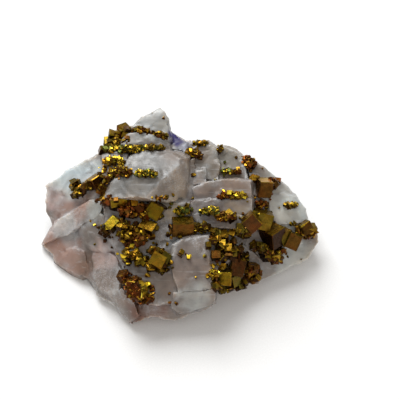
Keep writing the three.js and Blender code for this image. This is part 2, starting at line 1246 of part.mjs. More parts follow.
addPiece("matrix", matrixSolid, milkyMatrix);
CLUSTERS.forEach((cluster, index) =>
  addPiece(cluster.name, clusterSolid(cluster, index), brassyCrystal),
);

const part = new THREE.Group();
specimen.applyMatrix4(faceToBench);
part.add(specimen);

const extent = new THREE.Box3().setFromObject(part, true);
const middle = extent.getCenter(new THREE.Vector3());
specimen.position.x -= middle.x;
specimen.position.y -= middle.y;

export default part;
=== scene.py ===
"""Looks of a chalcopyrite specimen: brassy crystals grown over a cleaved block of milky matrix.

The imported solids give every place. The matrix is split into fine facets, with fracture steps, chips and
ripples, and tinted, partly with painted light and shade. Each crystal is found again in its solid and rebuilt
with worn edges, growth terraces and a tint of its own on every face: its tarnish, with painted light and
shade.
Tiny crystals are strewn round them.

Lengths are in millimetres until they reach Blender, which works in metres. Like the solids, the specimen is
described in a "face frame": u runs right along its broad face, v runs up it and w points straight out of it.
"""

import math
import random
from itertools import product

import bmesh
import bpy
import numpy as np
from mathutils import Matrix, Vector, noise
from mathutils.bvhtree import BVHTree
from mathutils.kdtree import KDTree


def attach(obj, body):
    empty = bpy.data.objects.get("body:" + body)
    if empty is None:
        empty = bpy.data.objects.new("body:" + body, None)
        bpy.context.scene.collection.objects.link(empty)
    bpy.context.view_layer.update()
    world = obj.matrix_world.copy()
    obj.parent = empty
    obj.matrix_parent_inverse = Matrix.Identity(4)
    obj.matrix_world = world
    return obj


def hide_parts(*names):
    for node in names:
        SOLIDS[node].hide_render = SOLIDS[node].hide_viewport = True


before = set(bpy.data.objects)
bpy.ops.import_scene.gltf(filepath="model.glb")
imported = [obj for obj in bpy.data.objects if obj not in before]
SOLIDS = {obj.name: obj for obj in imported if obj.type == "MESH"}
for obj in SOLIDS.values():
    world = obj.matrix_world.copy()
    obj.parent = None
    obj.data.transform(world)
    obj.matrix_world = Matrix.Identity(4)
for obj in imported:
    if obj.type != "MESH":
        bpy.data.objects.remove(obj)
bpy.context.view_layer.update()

MM = 0.001
CLUSTERS = sorted(n for n in SOLIDS if n != "matrix")

# ---- the face frame and the view ----

VIEW_ELEVATION = math.radians(58)
FACE_ORIGIN = Vector((0.46, -7.10, 20.0)) * MM
ALONG_U = Vector((1, 0, 0))
ALONG_V = Vector((0, math.sin(VIEW_ELEVATION), math.cos(VIEW_ELEVATION)))
ALONG_W = Vector((0, -math.cos(VIEW_ELEVATION), math.sin(VIEW_ELEVATION)))

VIEW_CENTRE = (5, 4.25, -5)  # the face-frame point in the middle of the picture
VIEW_WIDTH = 100 * MM  # what the picture's width covers there
LENS, SENSOR = 120, 36
PICTURE = 400  # pixels along each side of the picture
PIXELS_PER_MM = PICTURE * MM / VIEW_WIDTH

FACE_TO_WORLD = Matrix((ALONG_U, ALONG_V, ALONG_W)).transposed()


def face_point(u, v, w):
    return FACE_ORIGIN + FACE_TO_WORLD @ (Vector((u, v, w)) * MM)


EYE = face_point(*VIEW_CENTRE) + ALONG_W * VIEW_WIDTH * LENS / SENSOR  # where the camera stands


def sight_line(px, py):
    """Direction from the camera through a pixel of the picture."""
    across = (px / PICTURE - 0.5) * SENSOR / LENS
    up = (0.5 - py / PICTURE) * SENSOR / LENS
    return (ALONG_U * across + ALONG_V * up - ALONG_W).normalized()


def make_camera():
    camera = add_object("camera", bpy.data.cameras.new("camera"))
    camera.data.lens = LENS
    camera.data.sensor_width = SENSOR
    camera.data.clip_start = 10 * MM
    camera.location = EYE
    camera.rotation_euler = (-ALONG_W).to_track_quat("-Z", "Y").to_euler()
    bpy.context.scene.camera = camera


# ---- small helpers ----

WELD = 0.001 * MM  # corners closer together than this are one


def linear(red, green, blue):
    """Linear colour of an 8-bit display colour."""
    parts = [c / 255 for c in (red, green, blue)]
    return tuple(p / 12.92 if p < 0.04045 else ((p + 0.055) / 1.055) ** 2.4 for p in parts)


def palette(tints):
    """Named tints as linear colours."""
    return {name: linear(*colour) for name, colour in tints.items()}


def smoothstep(low, high, x):
    """Rises from 0 at low to 1 at high, or falls where high is the lower of the two."""
    t = np.clip((x - low) / (high - low), 0, 1)
    return t * t * (3 - 2 * t)


def noise_at(points, scale, offset=0.0):
    """Smooth noise from -1 to 1 at rows of points in millimetres; scale is the size of its lumps."""
    shift = Vector((offset, -offset, 0.37 * offset))
    return np.array([noise.noise(Vector(p) / scale + shift) for p in points])


def add_object(name, data):
    made = bpy.data.objects.new(name, data)
    bpy.context.scene.collection.objects.link(made)
    return made


def welded(mesh):
    """A mesh in edit form, with its shared corners merged."""
    work = bmesh.new()
    work.from_mesh(mesh)
    bmesh.ops.remove_doubles(work, verts=work.verts, dist=WELD)
    return work


def tree_of(nodes):
    """A search tree over the faces of some of the solids."""
    corners, faces = [], []
    for node in nodes:
        mesh = SOLIDS[node].data
        start = len(corners)
        corners += [v.co.copy() for v in mesh.vertices]
        faces += [[start + i for i in face.vertices] for face in mesh.polygons]
    return BVHTree.FromPolygons(corners, faces)


def tree_of_points(points):
    tree = KDTree(len(points))
    for i, p in enumerate(points):
        tree.insert(p, i)
    tree.balance()
    return tree


def vectors_of(collection, key):
    """Rows of three numbers, read from a mesh's collection."""
    values = np.zeros(len(collection) * 3, np.float32)
    collection.foreach_get(key, values)
    return values.reshape(-1, 3).astype(float)


def paint(mesh, name, values, domain="POINT"):
    """Stores amounts, or colours as rows of four, one for each vertex or face corner."""
    kind, key = ("FLOAT", "value") if values.ndim == 1 else ("FLOAT_COLOR", "color")
    layer = mesh.attributes.new(name, kind, domain)
    layer.data.foreach_set(key, values.astype(np.float32).ravel())


# ---- matrix ----

MATRIX_GRAIN = 0.55  # longest edge of the matrix mesh where it shows
HIDDEN_GRAIN = 1.6  # and where it is underneath or behind crystals
HIDDEN_HEIGHT = 0.2  # the underside reaches up to here
HIDDEN_BY_CRYSTAL = 0.4  # and crystals hide what is nearer than this
MOST_SPLITS = 12
FLAT_ANGLE = 0.002  # faces that turn less than this many radians are one flat
SHARP_ANGLE = math.radians(22)  # edges sharper than this are chipped
SHADED_SHARP = math.radians(26)  # and those sharper than this look crisp
EDGE_SPACING = 0.12 * MM  # between the points that stand for an edge

# Relief of the matrix: size and height of lumps in millimetres, and the offset that tells noises apart.
SWELL = (10, 0.05, 11.0)
GRIT = (0.7, 0.05, 27.0)
BEDS = [(3.4, 1.1, 7.0), (1.2, 0.25, 9.0)]
SWAYS = [(3.6, 0.45, 0.0), (1.3, 0.24, 5.0)]
WAVERING = (6, 4, 41.0)  # how far out of round ripples are, in radians

BED_SHAPE = np.array([0.35, 1.0, 0.8])  # beds are longest along u
LEDGE = 0.3  # height of a ledge between beds
LEDGE_SHOWN, ROUGH_LEDGE = 0.02, 0.2  # share of it that smooth places show, and what rough ones add
RIPPLE, RIPPLE_TURN = 0.025, 2.6  # height of ripples, and radians per millimetre
FLAT_SIZE, FLAT_TILT = 1.8, 0.25  # spacing and tilt of the flats in rough places
ROUGH_FLATS, FROSTY_FLATS = 0.28, 0.3  # share of their depth that shows
CHIP_DEPTH = 0.34
CHIPPED_EDGE = 0.8  # how far from an edge it is chipped
PALE_EDGE = 2.2  # and whiter: painted edge highlight, partly the whiter look of crushed stone
SEAT = 0.2  # how far the matrix rises to the crystals' feet
FLAT_KEPT = 0.85  # share of the sway out of a flat that is taken back

CRYSTAL_REACH = 2.0  # crystals further away than this don't count

cluster_tree = tree_of(CLUSTERS)
matrix_tree = tree_of(["matrix"])
support_tree = tree_of(SOLIDS)

MATRIX_TINTS = palette({
    "white": (190, 201, 203), "cream": (188, 190, 184), "pale grey": (165, 165, 159),
    "grey": (145, 146, 141), "dark grey": (107, 106, 102), "taupe": (130, 113, 101),
    "warm": (153, 136, 117), "drab": (112, 102, 86), "sand": (186, 168, 143),
    "pale rose": (181, 157, 149), "rosy": (158, 129, 117), "rust": (152, 117, 103),
    "umber": (122, 92, 74), "brown": (76, 60, 51), "russet": (100, 59, 36),
    "bluish": (132, 136, 156), "violet": (46, 39, 99),
})

BASE_TINT = linear(118, 108, 100)
WHITE_OF_BREAKS_AND_HIGHLIGHTS = linear(184, 188, 190)  # of worn, broken edges, frosty places and traces of growth; on edges and in frosty places its white is partly painted highlight and sparkle

# Tinted places of the matrix, the later ones on top: pixel, radius in millimetres, tint, strength and, where
# only the faces that look one way are tinted, that way in the face frame.
VIOLET_NOTCH = ((175, 138), 2.6)
# Some of these tints are the stone's own; others are painted light and shade, marked below.
STAINS_AND_PAINTED_LIGHT = [
    # The rosy and rust tints down the left side are painted warm light, reflected up from below.
    ((74, 205), 8, "rosy", 0.8),  # hollow of the left wing
    ((50, 196), 5, "pale rose", 0.7),
    ((60, 242), 7, "rust", 0.8),  # flank below the left ridge
    ((70, 258), 5, "rosy", 0.7),
    ((91, 268), 5, "umber", 0.6),  # shaded valley
    ((104, 256), 5, "pale rose", 0.8),
    ((135, 190), 7, "warm", 0.6),  # foot of the great block
    ((152, 125), 8, "grey", 0.8),  # peak
    # The white on the left wing is a painted sheen where it faces the light.
    ((70, 176), 8, "white", 0.8),  # left wing
    ((93, 172), 4.5, "white", 0.6),
    ((66, 228), 5, "white", 0.45),  # left ridge
    ((95, 210), 4, "grey", 0.8),
    ((283, 190), 9, "pale grey", 0.8),  # smooth right rim
    ((292, 214), 6, "cream", 0.8),
    ((292, 262), 8, "cream", 0.8),  # right skirt
    ((210, 204), 7, "brown", 0.7),  # steps right of the middle
    ((242, 205), 4, "sand", 0.4),
    ((232, 184), 7, "taupe", 0.8),
    ((222, 158), 8, "drab", 0.8),
    ((234, 159), 4, "grey", 0.35),
    ((190, 275), 8, "taupe", 0.8),  # front block
    ((196, 298), 5, "pale grey", 0.8),  # its lower lip, paler: painted sheen
    ((170, 208), 4, "sand", 0.8),  # hollow under the great block, made lighter: painted light over its shadow
    ((150, 314), 7, "russet", 0.8),  # edge beneath: painted warm reflected light and shade from below
    ((180, 184), 4, "warm", 0.8),  # column beside the great block
    ((201, 188), 3, "taupe", 0.8),
    ((112, 288), 7, "taupe", 0.8),  # frosty slope
    ((185, 147), 2.6, "bluish", 0.7),  # rim of the notch
    (*VIOLET_NOTCH, "violet", 1.0),
    ((166, 184), 8, "warm", 1.0, (1, -0.4, 0.6)),  # flank of the great block, on faces that look right: painted warm shade of the side turned from the light
    ((138, 172), 10, "dark grey", 0.9, (-0.4, 0.6, 1)),  # its upper face
]

# Places where the matrix is broken rough and sparkles: pixel, radius in millimetres.
FROSTY = [((93, 170), 3), ((108, 285), 8), ((160, 232), 6), ((176, 180), 4), ((205, 240), 5), ((70, 222), 5)]

# Shell-like ripples: pixel of their centre, reach in millimetres.
RIPPLED = [((150, 176), 13), ((60, 200), 12), ((195, 330), 13), ((300, 200), 10), ((235, 260), 12)]

# A spot is full inside SPOT_CORE of its radius and gone beyond SPOT_RIM, give or take SPOT_RAGGED.
SPOT_CORE, SPOT_RIM, SPOT_RAGGED = 0.45, 1.1, 0.45
SPOT_REACH = SPOT_RIM + SPOT_RAGGED + 0.05
BESIDE = -10  # w of the places seen beside the solid


def lumps(points, layer, shift=0.0):
    """Noise of a layer's size and height, at rows of points in millimetres."""
    size, height, offset = layer
    return noise_at(points, size, offset + shift) * height


def stepped(height, step):
    """Heights drawn together into flat treads, with a riser in the last quarter of each step."""
    level = np.floor(height / step)
    rise = smoothstep(0.72, 1.0, height / step - level)
    return (level + rise) * step


def sharp_edge_tree(mesh):
    """Closely spaced points along the outward edges of a solid, in a search tree."""
    work = bmesh.new()
    work.from_mesh(mesh)
    points = []
    for edge in work.edges:
        if len(edge.link_faces) == 2 and edge.calc_face_angle_signed(0) > SHARP_ANGLE:
            a, b = [v.co for v in edge.verts]
            count = max(2, int((b - a).length / EDGE_SPACING) + 1)
            points += [a.lerp(b, i / (count - 1)) for i in range(count)]
    work.free()
    return tree_of_points(points)


def on_solid(pixel):
    """Where the sight line through a pixel first meets the solid matrix, or passes beside it."""
    sight = sight_line(*pixel)
    beside = (EYE - face_point(0, 0, BESIDE)).dot(ALONG_W) / -sight.dot(ALONG_W)
    return matrix_tree.ray_cast(EYE, sight)[0] or EYE + sight * beside


def too_long(edge):
    length = edge.calc_length() / MM
    if length < MATRIX_GRAIN:
        return False
    middle = (edge.verts[0].co + edge.verts[1].co) / 2
    near_crystal = cluster_tree.find_nearest(middle, HIDDEN_BY_CRYSTAL * MM)[0]
    hidden = middle.z < HIDDEN_HEIGHT * MM or near_crystal is not None
    return length > (HIDDEN_GRAIN if hidden else MATRIX_GRAIN)


def refine(mesh):
    """Splits a mesh into small triangles, keeping its flats and its crisp edges exactly."""
    work = bmesh.new()
    work.from_mesh(mesh)
    bmesh.ops.dissolve_degenerate(work, edges=work.edges, dist=0.01 * MM)
    bmesh.ops.triangulate(work, faces=work.faces)
    for _ in range(MOST_SPLITS):
        long = [edge for edge in work.edges if too_long(edge)]
        if not long:
            break
        bmesh.ops.subdivide_edges(work, edges=long, cuts=1)
        bmesh.ops.triangulate(work, faces=[f for f in work.faces if len(f.verts) > 3])
        inner = [e for e in work.edges if len(e.link_faces) == 2]
        flat = [e for e in inner if e.calc_face_angle(math.pi) < FLAT_ANGLE]
        bmesh.ops.beautify_fill(work, faces=work.faces, edges=flat)
    work.to_mesh(mesh)
    work.free()


class Skin:
    """The points of the matrix mesh, with what their relief and their tints are worked out from."""

    def __init__(self, mesh, edge_tree):
        self.count = len(mesh.vertices)
        self.place = vectors_of(mesh.vertices, "co")
        self.outward = vectors_of(mesh.vertex_normals, "vector")
        self.face = (self.place - np.array(FACE_ORIGIN)) @ np.array(FACE_TO_WORLD) / MM
        self.from_edge = np.array([edge_tree.find(p)[2] for p in self.place]) / MM
        reach = CRYSTAL_REACH * MM
        near = [cluster_tree.find_nearest(p, reach)[3] or reach for p in self.place]
        self.from_crystal = np.array(near) / MM
        self.clear_of_floor = smoothstep(0.2, 1.6, self.place[:, 2] / MM)
        self.frost = np.zeros(self.count)
        for spot in FROSTY:
            self.frost = np.maximum(self.frost, self.share_in(*spot))

    def away_from(self, pixel):
        """Metres from each point to the place on the solid that a pixel shows."""
        return np.linalg.norm(self.place - np.array(on_solid(pixel)), axis=1)

    def share_in(self, pixel, radius):
        """How strongly each point belongs to a ragged spot round a pixel, from 0 to 1."""
        away = self.away_from(pixel) / (radius * MM)
        near = away < SPOT_REACH
        ragged = np.zeros(self.count)
        ragged[near] = noise_at(self.face[near], radius / 2, pixel[0]) * SPOT_RAGGED
        return 1 - smoothstep(SPOT_CORE, SPOT_RIM, away + ragged)


def roughness_of(skin):
    """How rough each point's fracture is: in frosty spots, in patches, and on most of the back and sides."""
    patches = smoothstep(0.3, 0.6, noise_at(skin.face, 7, 3.1))
    turned_away = smoothstep(0.35, 0.1, skin.outward @ np.array(ALONG_W))
    not_beneath = smoothstep(-0.9, -0.6, skin.outward[:, 2])
    behind = turned_away * not_beneath * smoothstep(-0.5, 0.1, noise_at(skin.face, 9, 61.0))
    return np.maximum(np.maximum(skin.frost, patches), behind)


def ripples_of(skin):
    """Heights of the shell-like ripples, in millimetres."""
    wavering = lumps(skin.face, WAVERING)
    ripples = np.zeros(skin.count)
    for pixel, reach in RIPPLED:
        away = skin.away_from(pixel) / MM
        fading = 1 - smoothstep(0.3 * reach, reach, away)
        ripples += np.sin(away * RIPPLE_TURN + wavering) * fading * RIPPLE
    return ripples


def flats_of(skin, spacing, tilt, seed):
    """Millimetres that each point moves when the surface is chipped into flats."""
    rng = np.random.default_rng(seed)
    order = rng.permutation(skin.count)
    cells = np.floor(skin.place[order] / (spacing * MM)).astype(int)
    _, first = np.unique(cells, axis=0, return_index=True)
    seeds = order[first]
    facing = skin.outward[seeds] + rng.normal(0, tilt, (len(seeds), 3))
    facing /= np.linalg.norm(facing, axis=1)[:, None]
    tree = tree_of_points(skin.place[seeds])
    found = [tree.find_n(p, 3) for p in skin.place]
    near, away = [np.array([[f[k] for f in row] for row in found]) for k in (1, 2)]
    blend = 0.12 * MM  # width of the round edge between two flats
    most_turned = 0.7  # flats turned further from the surface than this cosine don't count
    share = np.exp((away[:, :1] - away) / blend)
    square = np.einsum("pk,psk->ps", skin.outward, facing[near])
    share *= square > most_turned
    down = np.einsum("psk,psk->ps", skin.place[seeds][near] - skin.place[:, None, :], facing[near])
    total = (share * down / np.maximum(square, most_turned)).sum(axis=1)
    move = total / np.maximum(share.sum(axis=1), 1e-6)
    return np.clip(move / MM, -0.2 * spacing, 0.12 * spacing)


def relief_of(skin):
    """How far the fracture moves each point outwards, in millimetres."""
    rough = roughness_of(skin)
    near_edge = 1 - smoothstep(0.0, CHIPPED_EDGE, skin.from_edge)
    beds = skin.face * BED_SHAPE
    ledges = stepped(sum(lumps(beds, layer) for layer in BEDS), LEDGE)
    chips = -smoothstep(0.22, 0.42, noise_at(skin.face, 1.8, 21.0)) * near_edge * CHIP_DEPTH
    flats = flats_of(skin, FLAT_SIZE, FLAT_TILT, seed=2)
    grit = lumps(skin.face, GRIT) * (near_edge + rough)
    relief = lumps(skin.face, SWELL) + ledges * (LEDGE_SHOWN + ROUGH_LEDGE * rough) + ripples_of(skin)
    return relief + chips + grit + flats * (ROUGH_FLATS * rough + FROSTY_FLATS * skin.frost)


def sway_of(skin):
    """Sideways moves in millimetres that make edges uneven but hardly leave the flats."""
    sway = np.zeros((skin.count, 3))
    for way, shift in ((ALONG_U, 71.0), (ALONG_V, 83.0)):
        wave = sum(lumps(skin.face, layer, shift) for layer in SWAYS)
        sway += wave[:, None] * np.array(way)
    lift = np.einsum("pk,pk->p", sway, skin.outward) * smoothstep(0.3, 1.4, skin.from_edge) * FLAT_KEPT
    return sway - skin.outward * lift[:, None]


def stain_and_light_of(skin):
    """The tint of each point, with painted light and shade where the table gives it."""
    stain_and_light = np.tile(np.array(BASE_TINT), (skin.count, 1))
    for pixel, radius, tint, strength, *ways in STAINS_AND_PAINTED_LIGHT:
        share = skin.share_in(pixel, radius)
        for way in ways:
            looks = skin.outward @ np.array(FACE_TO_WORLD @ Vector(way).normalized())
            share = share * smoothstep(0.8, 0.95, looks)
        stain_and_light += (np.array(MATRIX_TINTS[tint]) - stain_and_light) * (share * strength)[:, None]
    return stain_and_light


def make_matrix():
    mesh = SOLIDS["matrix"].data.copy()
    mesh.materials.clear()
    work = welded(mesh)
    work.to_mesh(mesh)
    work.free()
    edge_tree = sharp_edge_tree(mesh)
    refine(mesh)
    piece = add_object("milky_matrix", mesh)
    skin = Skin(mesh, edge_tree)

    relief = relief_of(skin)
    seat = (1 - smoothstep(0.35, 1.2, skin.from_crystal)) * SEAT
    loose = skin.clear_of_floor * smoothstep(0.3, 1.5, skin.from_crystal)
    skin.place += sway_of(skin) * loose[:, None] * MM
    skin.place += skin.outward * (relief * skin.clear_of_floor + seat)[:, None] * MM
    skin.place[:, 2] = np.maximum(skin.place[:, 2], 0)
    mesh.vertices.foreach_set("co", skin.place.astype(np.float32).ravel())
    mesh.update()
    mesh.shade_smooth()
    mesh.set_sharp_from_angle(angle=SHADED_SHARP)

    clear = skin.share_in(*VIOLET_NOTCH)
    # Whiter along the edges: painted edge highlights, partly the whiter look of crushed stone.
    edge_bruise_and_highlight = smoothstep(-0.35, 0.4, noise_at(skin.face, 4, 33.0))
    pale_edge = (1 - smoothstep(0.0, PALE_EDGE, skin.from_edge)) * edge_bruise_and_highlight
    # Tints of the stone, with painted light and shade in some places.
    paint(mesh, "stain_and_light", np.c_[stain_and_light_of(skin), np.ones(skin.count)])
    paint(mesh, "clear", clear)
    paint(mesh, "edge", pale_edge * skin.clear_of_floor * (1 - clear))
    paint(mesh, "frost", skin.frost)
    mesh.materials.append(milky_material())
    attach(piece, "root")
    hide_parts("matrix")


# ---- materials ----


class Shader:
    """A short way to write a material's nodes."""

    def __init__(self, name):
        self.material = bpy.data.materials.new(name)
        self.material.use_nodes = True
        self.nodes = self.material.node_tree.nodes
        self.links = self.material.node_tree.links
        self.surface = self.nodes["Principled BSDF"]

    def feed(self, socket, value):
        """Links a socket to another node's output, or gives it a plain value."""
        if isinstance(value, bpy.types.NodeSocket):
            self.links.new(value, socket)
        else:
            socket.default_value = value

    def node(self, kind, values=None, **settings):
        made = self.nodes.new(kind)
        for key, value in settings.items():
            setattr(made, key, value)
        for key, value in (values or {}).items():
            self.feed(made.inputs[key], value)
        return made

    def set(self, **values):
        for key, value in values.items():
            self.feed(self.surface.inputs[key.replace("_", " ")], value)

    def attribute(self, name, output="Fac"):
        return self.node("ShaderNodeAttribute", attribute_name=name).outputs[output]

    def place(self):
        return self.node("ShaderNodeTexCoord").outputs["Object"]

    def noise(self, scale, detail=4.0, roughness=0.55, distortion=0.0, place=None):
        """Noise whose lumps are about scale millimetres wide."""
        values = dict(Vector=place or self.place(), Scale=1 / (scale * MM), Detail=detail)
        values.update(Roughness=roughness, Distortion=distortion)
        return self.node("ShaderNodeTexNoise", values).outputs["Fac"]

    def ramp(self, value, *stops):
        """Maps a value through stops of (position, colour or grey)."""
        made = self.node("ShaderNodeValToRGB", {"Fac": value})
        elements = made.color_ramp.elements
        while len(elements) < len(stops):
            elements.new(0.5)
        for element, (position, colour) in zip(elements, stops):
            element.position = position
            element.color = (*colour, 1) if isinstance(colour, tuple) else (colour,) * 3 + (1,)
        return made.outputs["Color"]

    def math(self, operation, a, b=0.0, c=0.0):
        return self.node("ShaderNodeMath", {0: a, 1: b, 2: c}, operation=operation).outputs[0]

    def blend(self, share, a, b, kind="MIX"):
        made = self.node("ShaderNodeMix", {0: share, 6: a, 7: b}, data_type="RGBA", blend_type=kind)
        return made.outputs[2]

    def multiplied(self, colour, *others):
        for other in others:
            colour = self.blend(1.0, colour, other, "MULTIPLY")
        return colour

    def bump(self, height, strength, distance, normal=None):
        values = {"Height": height, "Strength": strength, "Distance": distance * MM}
        if normal:
            values["Normal"] = normal
        return self.node("ShaderNodeBump", values).outputs["Normal"]


GROWTH_STEPS = 9.0  # levels of the fine steps on the matrix


def milky_material():
    """Milky, translucent mineral with soft veils and growth steps, whiter on broken edges and where rough:
    partly painted highlight and sparkle.
    """
    shade = Shader("milky matrix")
    # The point tints include painted light and shade in some places.
    stain_and_light = shade.attribute("stain_and_light", "Color")
    edge, frost, clear = [shade.attribute(name) for name in ("edge", "frost", "clear")]
    milky = shade.math("MULTIPLY_ADD", clear, -0.7, 0.75)
    warmth = shade.ramp(shade.noise(9, 3, 0.5, 0.4), (0.3, (1.07, 1.0, 0.93)), (0.7, (0.95, 1.0, 1.06)))
    veils = shade.ramp(shade.noise(6, 6, 0.62, 0.8), (0.34, 0.7), (0.5, 0.98), (0.62, 1.12), (0.7, 1.34))
    colour = shade.multiplied(stain_and_light, warmth, veils)
    streaked = shade.node("ShaderNodeMapping", {"Vector": shade.place(), "Scale": (0.12, 1, 1)}).outputs[0]
    traces = shade.ramp(shade.noise(0.8, 3, 0.5, 0.4, streaked), (0.58, 0.0), (0.73, 0.32))
    # The white on edges and the flecks in frosty places are partly painted highlight and sparkle.
    broken = shade.ramp(shade.noise(0.9, 5, 0.7), (0.4, 0.14), (0.66, 0.56))
    flecks = shade.ramp(shade.noise(0.3, 4, 0.7), (0.48, 0.1), (0.68, 0.7))
    whiter = shade.math("ADD", shade.math("MULTIPLY", edge, broken), shade.math("MULTIPLY", frost, flecks))
    whiter = shade.math("MAXIMUM", whiter, traces)
    whiter = shade.math("MULTIPLY", whiter, shade.math("SUBTRACT", 1.0, clear))
    colour = shade.blend(whiter, colour, (*WHITE_OF_BREAKS_AND_HIGHLIGHTS, 1))
    gloss = shade.ramp(shade.noise(1.6, 4), (0.35, 0.28), (0.7, 0.55))
    sparkle = shade.math("ADD", 0.1, shade.math("MULTIPLY", frost, 0.9))
    fine = shade.bump(shade.noise(0.4, 6, 0.65), sparkle, 0.16)
    waves = shade.math("MULTIPLY", shade.noise(3.4, 2, 0.45, 0.5, streaked), GROWTH_STEPS)
    steps = shade.math("DIVIDE", shade.math("FLOOR", waves), GROWTH_STEPS)
    stepped_down = shade.bump(steps, 0.5, 0.3, fine)
    shade.set(
        Base_Color=colour,
        Roughness=gloss,
        Normal=stepped_down,
        IOR=1.54,
        Subsurface_Weight=milky,
        Subsurface_Radius=(1.0, 0.85, 0.7),
        Subsurface_Scale=4 * MM,
        Coat_Weight=0.06,
        Coat_Roughness=0.15,
    )
    return shade.material


def brass_material():
    """Tarnished brassy metal; every face has its own tint, broken up by blotches, with a fine uneven bump."""
    shade = Shader("tarnished chalcopyrite")
    blotches = shade.ramp(shade.noise(1.6, 6, 0.65, 0.6), (0.3, 0.58), (0.5, 0.98), (0.68, 1.3))
    hues = shade.ramp(shade.noise(2.4, 4, 0.6, 0.5), (0.35, (1.14, 0.94, 0.8)), (0.62, (0.9, 1.04, 1.1)))
    # Each face's tint is its tarnish with painted light and shade.
    colour = shade.multiplied(shade.attribute("tint", "Color"), blotches, hues)
    gloss = shade.ramp(shade.noise(0.6, 5, 0.6), (0.35, 0.18), (0.7, 0.42))
    fine = shade.bump(shade.noise(0.3, 5, 0.6), 0.35, 0.03)
    uneven = shade.bump(shade.noise(1.8, 2, 0.5), 0.6, 0.12, fine)
    shade.set(
        Base_Color=colour,
        Metallic=0.92,
        Roughness=gloss,
        Normal=uneven,
    )
    return shade.material


# ---- crystals ----

BRASS = palette({
    "lemon": (250, 222, 80), "bright": (232, 196, 54), "gold": (150, 114, 28),
    "yellow": (126, 110, 24), "amber": (118, 92, 16), "olive": (90, 74, 18),
    "green": (80, 84, 34), "brown": (92, 60, 18), "rust": (86, 44, 14),
    "orange": (134, 76, 26), "umber": (64, 38, 14), "dark": (50, 28, 8),
})

# Sets of three tints: of a crystal's sides that look up the broad face, outwards and down it. The sides that
# look up are painted lighter and those that look down darker: painted light and shade.
TARNISH_LIGHT_AND_SHADE_SETS = {
    "brassy": [("gold", "amber", "brown"), ("amber", "brown", "dark"), ("bright", "amber", "dark")],
    "olive": [("amber", "olive", "dark"), ("gold", "olive", "dark"), ("olive", "brown", "dark")],
    "brown": [("brown", "rust", "dark"), ("amber", "brown", "dark"), ("gold", "brown", "rust")],
    "red": [("brown", "rust", "dark"), ("orange", "rust", "dark"), ("gold", "rust", "dark")],
    "green": [("green", "olive", "dark"), ("amber", "green", "dark"), ("bright", "green", "olive")],
    "dark": [("brown", "dark", "dark"), ("olive", "dark", "dark"), ("amber", "rust", "dark")],
}

# Pixels where the crystals have each tarnish. The nearest one counts. The "dark" set is painted shade, on
# crystals in gaps and at the feet of others.
TARNISH_AND_SHADE_PLACES = {
    "dark": [(122, 130), (110, 235), (128, 224), (272, 238), (226, 252), (240, 256), (238, 287)],
    "olive": [
        (112, 142), (158, 148), (80, 189), (158, 262), (203, 228), (188, 153), (200, 142), (267, 219),
        (294, 242), (258, 248), (243, 229), (222, 240), (238, 270), (224, 281),
    ],
    "brassy": [
        (103, 156), (113, 161), (112, 222), (122, 227), (147, 228), (131, 254), (146, 288), (236, 195),
        (289, 206), (214, 274),
    ],
    "brown": [
        (150, 132), (120, 173), (98, 184), (152, 212), (132, 238), (182, 226), (228, 217), (197, 152),
        (221, 148), (262, 186), (252, 222), (309, 230), (276, 256), (253, 273),
    ],
    "green": [(112, 150), (135, 149), (147, 174), (182, 211), (209, 211), (226, 171)],
    "red": [
        (107, 201), (130, 208), (125, 275), (136, 290), (152, 292), (222, 196), (235, 172), (249, 160),
        (273, 183), (262, 206),
    ],
}

# Pixels on crystal faces that stand out, by tint: painted light and shade, bright tints where a face catches
# the light and dark ones where it is in shade.
FACES_WITH_PAINTED_LIGHT = {
    "yellow": [(112, 221)],
    "dark": [(112, 232), (279, 239)],
    "gold": [(149, 223), (158, 262), (309, 229), (232, 279), (276, 258)],
    "amber": [(118, 200), (156, 208), (183, 222), (222, 279)],
    "rust": [(136, 289)],
    "lemon": [(146, 288)],
    "brown": [(183, 230), (262, 187), (293, 242)],
    "umber": [(249, 222), (268, 238), (240, 267)],
    "olive": [(264, 217)],
}

